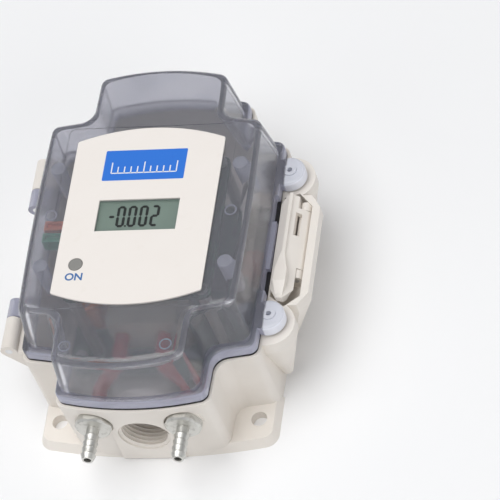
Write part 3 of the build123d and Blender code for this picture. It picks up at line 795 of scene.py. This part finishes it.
@dataclass
class SolidFinishes:
    """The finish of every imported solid."""

    window_mm: tuple[float, float, float, float] = (-0.6, -1.4, 33.6, 14.9)

    def finishes(self) -> dict[str, tuple[Finish, tuple[str, ...]]]:
        """Names the solids that each finish is for."""
        box = MouldedPlastic(paint(238, 232, 224), paint(232, 225, 216))
        lever = MouldedPlastic(paint(244, 238, 230), paint(238, 231, 222), 0.36)
        smoky = SmokyPlastic(
            paint(242, 242, 247), paint(233, 233, 240), paint(198, 199, 208), self.window_mm
        )
        cap = MouldedPlastic(paint(142, 141, 137), paint(132, 131, 127))
        black = MouldedPlastic(paint(38, 38, 40), paint(28, 28, 31), 0.5)
        sleeve = MouldedPlastic(paint(34, 36, 52), paint(28, 30, 44), 0.3)
        sand = MouldedPlastic(paint(206, 198, 176), paint(196, 187, 164))
        red = MouldedPlastic(paint(176, 40, 36), paint(160, 34, 32))
        green = MouldedPlastic(paint(40, 128, 82), paint(32, 112, 70))
        orange = MouldedPlastic(paint(222, 120, 42), paint(208, 106, 34))
        nickel = SatinMetal(paint(212, 211, 206), paint(178, 176, 170), Lay.ROUND_Y, 0.38)
        steel = SatinMetal(paint(222, 222, 222), paint(190, 190, 188), Lay.ROUND_Y, 0.25)
        zinc = SatinMetal(paint(224, 226, 228), paint(190, 192, 190))
        seal = Rubber(paint(26, 26, 30))
        tube = Rubber(paint(176, 38, 34), 0.4, 0.1)
        sheet = PrintedSheet(paint(242, 236, 230), paint(236, 229, 221))
        board = BoardLacquer(paint(24, 66, 50), paint(48, 104, 74))
        screen = DisplayGlass(paint(109, 124, 113), paint(102, 117, 108))
        nickel_parts = ("display_spacers", "barb_nuts", "hose_barb_low", "hose_barb_high")
        return {
            BOX_FINISH: (box, ("base",)),
            "moulded_lever": (lever, ("latch",)),
            "smoky_cover": (smoky, ("cover",)),
            "seal": (seal, ("gasket", "barb_washers")),
            "ground_pin": (steel, ("hinge_pin_lower", "hinge_pin_upper", "latch_pin")),
            "label_sheet": (sheet, ("label_plate",)),
            "button_cap": (cap, ("on_button",)),
            "black_parts": (
                black, ("tactile_switch", "display_frame", "board_header", "processor")
            ),
            "display_face": (screen, ("lcd_panel",)),
            "lacquered_board": (board, ("display_board", "circuit_board")),
            "plated_spacer": (nickel, nickel_parts),
            "plated_screw": (zinc, ("board_screws", "terminal_screws")),
            "sensor_body": (sand, ("pressure_sensor",)),
            "red_tube": (tube, ("tube_low", "tube_high")),
            "green_terminal": (green, ("terminal_block_supply",)),
            "orange_terminal": (orange, ("terminal_block_output",)),
            "capacitor_sleeve": (sleeve, ("capacitors",)),
            "range_switch_body": (red, ("range_switch",)),
        }

    def build(self) -> None:
        """Dresses every solid."""
        for name, (finish, nodes) in self.finishes().items():
            material = finish.material(name)
            for node in nodes:
                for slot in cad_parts[node].material_slots:
                    slot.material = material
            log.info("finish %s on %s", name, ", ".join(nodes))


class Segment(Enum):
    """The bars of one digit: side and height from its middle, and whether the bar lies flat."""

    TOP = (0.0, 1.0, True)
    MIDDLE = (0.0, 0.0, True)
    BOTTOM = (0.0, -1.0, True)
    UPPER_LEFT = (-1.0, 0.5, False)
    UPPER_RIGHT = (1.0, 0.5, False)
    LOWER_LEFT = (-1.0, -0.5, False)
    LOWER_RIGHT = (1.0, -0.5, False)


ZERO = (
    Segment.TOP,
    Segment.BOTTOM,
    Segment.UPPER_LEFT,
    Segment.UPPER_RIGHT,
    Segment.LOWER_LEFT,
    Segment.LOWER_RIGHT,
)
TWO = (
    Segment.TOP, Segment.MIDDLE, Segment.BOTTOM, Segment.UPPER_RIGHT, Segment.LOWER_LEFT
)
MINUS = (Segment.MIDDLE,)
READING = (ZERO, ZERO, ZERO, TWO)


@dataclass
class DisplayReading:
    """The dark bars of the reading on the display face."""

    centre_y_mm: float = -0.7
    digit_height_mm: float = 10.4
    digit_width_mm: float = 3.7
    pitch_mm: float = 4.75
    first_x_mm: float = -8.1
    minus_x_mm: float = -12.0
    bar_mm: float = 1.15
    gap_mm: float = 0.16
    tip_share: float = 0.42
    point_mm: float = 0.8
    point_round_mm: float = 0.2
    thick_mm: float = 0.06
    ink: Colour = paint(8, 10, 10)
    ink_roughness: float = 0.3

    def bar(self, name: str, centre: Vector, length: float, flat: bool) -> bpy.types.Object:
        """One bar with pointed ends.

        Args:
            name: The bar's name.
            centre: Its middle.
            length: Its length, in metres.
            flat: Whether it lies along X.

        Returns:
            The bar.
        """
        width = self.bar_mm * MM
        size = (length, width) if flat else (width, length)
        piece = Bench.slab(name, centre, size, self.thick_mm * MM, 0)
        bpy.ops.object.mode_set(mode="EDIT")
        bpy.ops.mesh.select_all(action="DESELECT")
        bpy.ops.mesh.select_mode(type="EDGE")
        bpy.ops.object.mode_set(mode="OBJECT")
        for edge in piece.data.edges:
            ends = [piece.data.vertices[index].co for index in edge.vertices]
            edge.select = abs(ends[0].z - ends[1].z) > self.thick_mm * MM / 2
        bpy.ops.object.mode_set(mode="EDIT")
        bpy.ops.mesh.bevel(offset=width * self.tip_share, segments=1, affect="EDGES")
        bpy.ops.object.mode_set(mode="OBJECT")
        return piece

    def digit(
        self, name: str, x_mm: float, bars: tuple[Segment, ...], face_z: float
    ) -> list[bpy.types.Object]:
        """The bars of one digit.

        Args:
            name: The digit's name.
            x_mm: The digit's middle along X.
            bars: Which bars are dark.
            face_z: The height of the display face, in metres.

        Returns:
            The bars.
        """
        half_w = (self.digit_width_mm - self.bar_mm) / 2
        half_h = (self.digit_height_mm - self.bar_mm) / 2
        made = []
        for bar in bars:
            side, up, flat = bar.value
            centre = Vector((x_mm + side * half_w, self.centre_y_mm + up * half_h, 0)) * MM
            centre.z = face_z
            length = (2 * half_w if flat else half_h) - self.gap_mm
            made.append(self.bar(f"{name}_{bar.name.lower()}", centre, length * MM, flat))
        return made

    def build(self) -> None:
        """Makes the reading."""
        face_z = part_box("lcd_panel")[1].z
        bars = self.digit("minus", self.minus_x_mm, MINUS, face_z)
        for place, digit in enumerate(READING):
            x_mm = self.first_x_mm + place * self.pitch_mm
            bars += self.digit(f"digit_{place}", x_mm, digit, face_z)
        point_x = self.first_x_mm + self.pitch_mm / 2
        point_y = self.centre_y_mm - self.digit_height_mm / 2 + self.bar_mm / 2
        centre = Vector((point_x * MM, point_y * MM, face_z))
        size = (self.point_mm * MM, self.point_mm * MM)
        bars.append(Bench.slab("point", centre, size, self.thick_mm * MM, self.point_round_mm))
        reading = Bench.join("display_reading", bars)
        ink = PrintedSheet(self.ink, self.ink, self.ink_roughness)
        Bench.hand_over(reading, ink.material("display_ink"), "box", "frame_black")


@dataclass
class LabelPrint:
    """The ink on the label: a blue panel with a plain scale, and the word at the button."""

    panel_centre_mm: Pair = (-1.0, 23.3)
    panel_size_mm: Pair = (34.6, 15.0)
    panel_round_mm: float = 0.5
    ink_mm: float = 0.05
    ink_roughness: float = 0.34
    scale_foot_mm: float = 3.6
    scale_margin_mm: float = 3.5
    ticks: int = 11
    long_every: int = 5
    tick_width_mm: float = 0.5
    short_tick_mm: float = 3.2
    long_tick_mm: float = 5.4
    tick_round_mm: float = 0.1
    word_centre_mm: Pair = (-22.6, -31.2)
    word_height_mm: float = 3.4
    size_per_height: float = 1.4
    stroke_mm: float = 0.12
    blue: tuple[Colour, Colour] = (paint(46, 120, 218), paint(42, 112, 212))
    white: tuple[Colour, Colour] = (paint(238, 240, 244), paint(228, 232, 238))
    word_blue: tuple[Colour, Colour] = (paint(64, 112, 172), paint(72, 116, 168))

    def build(self) -> None:
        """Makes the printed parts."""
        face_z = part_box("label_plate")[1].z
        for piece, colours, name in (
            (self.panel(face_z), self.blue, "blue_ink"),
            (self.scale(face_z + self.ink_mm * MM), self.white, "white_ink"),
            (self.word(face_z), self.word_blue, "word_ink"),
        ):
            ink = PrintedSheet(*colours, self.ink_roughness)
            Bench.hand_over(piece, ink.material(name), "lid", "label_white")

    def panel(self, face_z: float) -> bpy.types.Object:
        """The blue field."""
        x, y = self.panel_centre_mm
        width, height = self.panel_size_mm
        centre = Vector((x * MM, y * MM, face_z))
        size = (width * MM, height * MM)
        return Bench.slab("blue_panel", centre, size, self.ink_mm * MM, self.panel_round_mm)

    def scale(self, foot_z: float) -> bpy.types.Object:
        """A base line with evenly spaced ticks, every fifth one longer."""
        width, height = self.panel_size_mm
        middle_x, middle_y = self.panel_centre_mm
        low = middle_y - height / 2 + self.scale_foot_mm
        run = width - 2 * self.scale_margin_mm
        first = middle_x - run / 2
        thick = self.ink_mm * MM
        line = Vector((middle_x * MM, low * MM, foot_z))
        size = (run * MM, self.tick_width_mm * MM)
        pieces = [Bench.slab("scale_line", line, size, thick, self.tick_round_mm)]
        for step in range(self.ticks):
            tall = self.long_tick_mm if step % self.long_every == 0 else self.short_tick_mm
            x = first + step * run / (self.ticks - 1)
            centre = Vector((x * MM, (low + tall / 2) * MM, foot_z))
            size = (self.tick_width_mm * MM, tall * MM)
            pieces.append(Bench.slab(f"tick_{step}", centre, size, thick, self.tick_round_mm))
        return Bench.join("panel_scale", pieces)

    def word(self, face_z: float) -> bpy.types.Object:
        """The word ON under the button."""
        Bench.clear()
        bpy.ops.object.text_add(location=(0, 0, 0))
        text = bpy.context.object.data
        text.body = "ON"
        text.size = self.word_height_mm * MM * self.size_per_height
        text.extrude = self.ink_mm * MM / 2
        text.offset = self.stroke_mm * MM
        text.align_x = "CENTER"
        text.align_y = "CENTER"
        bpy.ops.object.convert(target="MESH")
        piece = Bench.named("word_on")
        x, y = self.word_centre_mm
        shift = (x * MM, y * MM, face_z + self.ink_mm * MM / 2)
        piece.data.transform(Matrix.Translation(shift))
        return piece


@dataclass
class ConduitThread:
    """The screw thread inside the conduit mouth."""

    centre_mm: Pair = (0.0, 19.0)
    mouth_y_mm: float = -74.6
    wall_r_mm: float = 10.62
    crest_mm: float = 1.1
    pitch_mm: float = 1.81
    root_share: float = 0.47
    crest_share: float = 0.22
    turns: int = 7
    steps: int = 48
    weld_m: float = 0.00001
    smooth_deg: float = 40

    def build(self, material: bpy.types.Material) -> None:
        """Winds the ridge up the bore.

        Args:
            material: The finish of the box.
        """
        Bench.clear()
        bpy.ops.mesh.primitive_plane_add(size=1, location=(0, 0, 0))
        ridge = Bench.named("conduit_thread")
        half = self.pitch_mm * MM * self.root_share
        tip = half * self.crest_share
        wall = self.wall_r_mm * MM
        crest = (self.wall_r_mm - self.crest_mm) * MM
        outline = ((wall, -half), (crest, -tip), (crest, tip), (wall, half))
        for vertex, (radius, along) in zip((0, 1, 3, 2), outline):
            ridge.data.vertices[vertex].co = (radius, along, 0)
        Bench.apply(
            ridge,
            "SCREW",
            axis="Y",
            screw_offset=self.pitch_mm * MM,
            iterations=self.turns,
            steps=self.steps,
            render_steps=self.steps,
            use_merge_vertices=True,
        )
        bpy.ops.object.mode_set(mode="EDIT")
        bpy.ops.mesh.select_all(action="SELECT")
        bpy.ops.mesh.remove_doubles(threshold=self.weld_m)
        bpy.ops.mesh.normals_make_consistent(inside=False)
        bpy.ops.object.mode_set(mode="OBJECT")
        x, z = self.centre_mm
        start = self.mouth_y_mm + self.pitch_mm / 2
        ridge.data.transform(Matrix.Translation((x * MM, start * MM, z * MM)))
        Bench.smooth(ridge, self.smooth_deg)
        Bench.hand_over(ridge, material, "box", "box_plastic")


@dataclass
class CoverPillars:
    """Four clear pillars moulded inside the cover, seen beside the label."""

    place_mm: Pair = (38.6, 24.0)
    foot_z_mm: float = 48.0
    head_z_mm: float = 66.6
    foot_r_mm: float = 2.3
    head_r_mm: float = 3.2
    bore_r_mm: float = 0.9
    bore_mm: float = 6.0
    round_mm: float = 0.5
    round_steps: int = 3
    sides: int = 40
    smooth_deg: float = 40
    plastic: CloudedPlastic = CloudedPlastic(paint(240, 241, 250), paint(234, 236, 248))

    def build(self) -> None:
        """Makes the pillars."""
        pillars = [self.pillar(x, y) for x in (-1, 1) for y in (-1, 1)]
        joined = Bench.join("cover_pillars", pillars)
        Bench.smooth(joined, self.smooth_deg)
        material = self.plastic.material("pillar_plastic")
        Bench.hand_over(joined, material, "lid", "smoky_clear")

    def pillar(self, x: int, y: int) -> bpy.types.Object:
        """One tapered pillar with a blind hole in its foot.

        Args:
            x: Which side it stands on, -1 or 1.
            y: Which end it stands at, -1 or 1.

        Returns:
            The pillar.
        """
        Bench.clear()
        middle = (self.head_z_mm + self.foot_z_mm) / 2 * MM
        bpy.ops.mesh.primitive_cone_add(
            vertices=self.sides,
            radius1=self.foot_r_mm * MM,
            radius2=self.head_r_mm * MM,
            depth=(self.head_z_mm - self.foot_z_mm) * MM,
            location=(x * self.place_mm[0] * MM, y * self.place_mm[1] * MM, middle),
        )
        piece = Bench.named(f"pillar_{x + 1}_{y + 1}")
        Bench.settle(piece)
        Bench.hollow(piece, Side.FOOT, self.foot_r_mm - self.bore_r_mm, self.bore_mm)
        Bench.apply(
            piece,
            "BEVEL",
            width=self.round_mm * MM,
            segments=self.round_steps,
            limit_method="ANGLE",
        )
        return piece


@dataclass
class EjectorMarks:
    """Round marks that the mould's pins left inside the cover's front; their pale colour is a
    painted highlight.
    """

    places_mm: tuple[Pair, ...] = ((-21.8, -62.9), (19.8, -62.9), (37.8, 0.6), (-37.8, 0.6))
    inside_z_mm: float = 66.5
    ring_r_mm: float = 2.3
    bead_r_mm: float = 0.32
    flat: float = 0.8
    sides: int = 32
    bead_sides: int = 8
    smooth_deg: float = 60
    # painted highlight: the pale ring colour stands in for bright arcs inside the cover
    plastic: PaleMark = PaleMark(paint(192, 194, 208), paint(172, 174, 188))

    def build(self) -> None:
        """Makes the marks as low rings, a little sunk into the wall."""
        rings = [self.ring(number, x, y) for number, (x, y) in enumerate(self.places_mm)]
        marks = Bench.join("ejector_marks", rings)
        Bench.smooth(marks, self.smooth_deg)
        Bench.hand_over(marks, self.plastic.material("mark_plastic"), "lid", "smoky_clear")

    def ring(self, number: int, x: float, y: float) -> bpy.types.Object:
        """One mark.

        Args:
            number: Its number, for its name.
            x: Its middle along X, in millimetres.
            y: Its middle along Y, in millimetres.

        Returns:
            The ring.
        """
        Bench.clear()
        bpy.ops.mesh.primitive_torus_add(
            location=(x * MM, y * MM, self.inside_z_mm * MM),
            major_radius=self.ring_r_mm * MM,
            minor_radius=self.bead_r_mm * MM,
            major_segments=self.sides,
            minor_segments=self.bead_sides,
        )
        piece = Bench.named(f"mark_{number}")
        piece.scale = (1, 1, self.flat)
        Bench.settle(piece)
        return piece


@dataclass
class SideTerminals:
    """Two plug-in terminals on the hinge side of the display board."""

    left_x_mm: float = -41.5
    right_x_mm: float = -24.2
    deep_mm: float = 4.4
    tall_mm: float = 6.0
    mouth_rim_mm: float = 1.1
    mouth_mm: float = 3.0
    well_rim_mm: float = 1.2
    well_mm: float = 1.2
    round_mm: float = 0.25
    round_steps: int = 2
    orange_y_mm: float = -1.6
    green_y_mm: float = -7.4
    orange: MouldedPlastic = MouldedPlastic(paint(232, 124, 74), paint(222, 112, 62))
    green: MouldedPlastic = MouldedPlastic(paint(62, 160, 118), paint(52, 146, 106))

    def build(self) -> None:
        """Makes both terminals."""
        orange = self.terminal("side_terminal_orange", self.orange_y_mm)
        Bench.hand_over(orange, self.orange.material("side_orange"), "box", "terminal_orange")
        green = self.terminal("side_terminal_green", self.green_y_mm)
        Bench.hand_over(green, self.green.material("side_green"), "box", "terminal_green")

    def terminal(self, name: str, y_mm: float) -> bpy.types.Object:
        """One terminal, with its wire mouth on the hinge side and its screw well on top.

        Args:
            name: The terminal's name.
            y_mm: Its middle along Y.

        Returns:
            The terminal.
        """
        foot_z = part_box("display_board")[1].z
        centre = Vector(((self.left_x_mm + self.right_x_mm) / 2 * MM, y_mm * MM, foot_z))
        size = ((self.right_x_mm - self.left_x_mm) * MM, self.deep_mm * MM)
        piece = Bench.slab(name, centre, size, self.tall_mm * MM, 0)
        Bench.hollow(piece, Side.LEFT, self.mouth_rim_mm, self.mouth_mm)
        Bench.hollow(piece, Side.TOP, self.well_rim_mm, self.well_mm)
        Bench.apply(
            piece,
            "BEVEL",
            width=self.round_mm * MM,
            segments=self.round_steps,
            limit_method="ANGLE",
        )
        return piece


# ---------------------------------------------------------------------------
# Studio
# ---------------------------------------------------------------------------


@dataclass(frozen=True)
class SoftBox:
    """A square lamp that faces the object."""

    place_m: Triple
    side_m: float
    watts: float

    def hang(self, name: str) -> None:
        """Hangs the lamp."""
        place = Vector(self.place_m)
        Bench.clear()
        bpy.ops.object.light_add(type="AREA", location=place)
        lamp = bpy.context.object
        lamp.name = name
        lamp.data.size = self.side_m
        lamp.data.energy = self.watts
        lamp.rotation_euler = (-place).to_track_quat("-Z", "Y").to_euler()


@dataclass
class Studio:
    """A pale floor, soft lights and the camera."""

    eye_m: Triple = (0.417535, -0.791682, 1.175966)
    turn_deg: Triple = (35.5273, 13.4545, 7.4895)
    lens_mm: float = 254.56
    sensor_mm: float = 36.0
    near_m: float = 0.05
    far_m: float = 40.0
    floor_m: float = 12.0
    floor_cells: int = 4
    soft_boxes: tuple[SoftBox, ...] = (
        SoftBox((-0.35, -0.25, 2.0), 1.6, 29.0),
        SoftBox((-1.2, -1.0, 1.0), 1.0, 2.5),
        SoftBox((1.3, -1.1, 0.9), 1.1, 6.5),
        SoftBox((0.9, 1.5, 1.1), 1.0, 2.5),
    )
    sky: Colour = (0.93, 0.95, 1.0)
    sky_strength: float = 0.3

    def build(self) -> None:
        """Sets up the studio."""
        self.floor()
        self.world()
        for number, soft_box in enumerate(self.soft_boxes):
            soft_box.hang(f"soft_box_{number}")
        self.camera()

    def floor(self) -> None:
        """Lays the floor."""
        Bench.clear()
        bpy.ops.mesh.primitive_grid_add(
            size=self.floor_m,
            x_subdivisions=self.floor_cells,
            y_subdivisions=self.floor_cells,
            location=(0, 0, 0),
        )
        floor = Bench.named("floor")
        Bench.dress(floor, StudioFloor().material("pale_floor"))

    def world(self) -> None:
        """Lights the room evenly."""
        world = bpy.data.worlds.new("studio_air")
        world.use_nodes = True
        air = world.node_tree.nodes["Background"]
        air.inputs["Color"].default_value = rgba(self.sky)
        air.inputs["Strength"].default_value = self.sky_strength
        bpy.context.scene.world = world
        bpy.context.scene.view_settings.view_transform = "Standard"

    def camera(self) -> None:
        """Places the camera."""
        Bench.clear()
        turn = Euler([math.radians(angle) for angle in self.turn_deg])
        bpy.ops.object.camera_add(location=self.eye_m, rotation=turn)
        camera = bpy.context.object
        camera.name = "photo_view"
        camera.data.lens = self.lens_mm
        camera.data.sensor_width = self.sensor_mm
        camera.data.clip_start = self.near_m
        camera.data.clip_end = self.far_m
        bpy.context.scene.camera = camera


def main() -> None:
    """Builds the scene in order."""
    logging.basicConfig(level=logging.INFO, format="%(name)s: %(message)s")
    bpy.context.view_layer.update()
    Studio().build()
    SolidFinishes().build()
    LabelPrint().build()
    DisplayReading().build()
    ConduitThread().build(bpy.data.materials[BOX_FINISH])
    CoverPillars().build()
    EjectorMarks().build()
    SideTerminals().build()
    log.info("all pieces are in place")


if __name__ == "__main__":
    main()
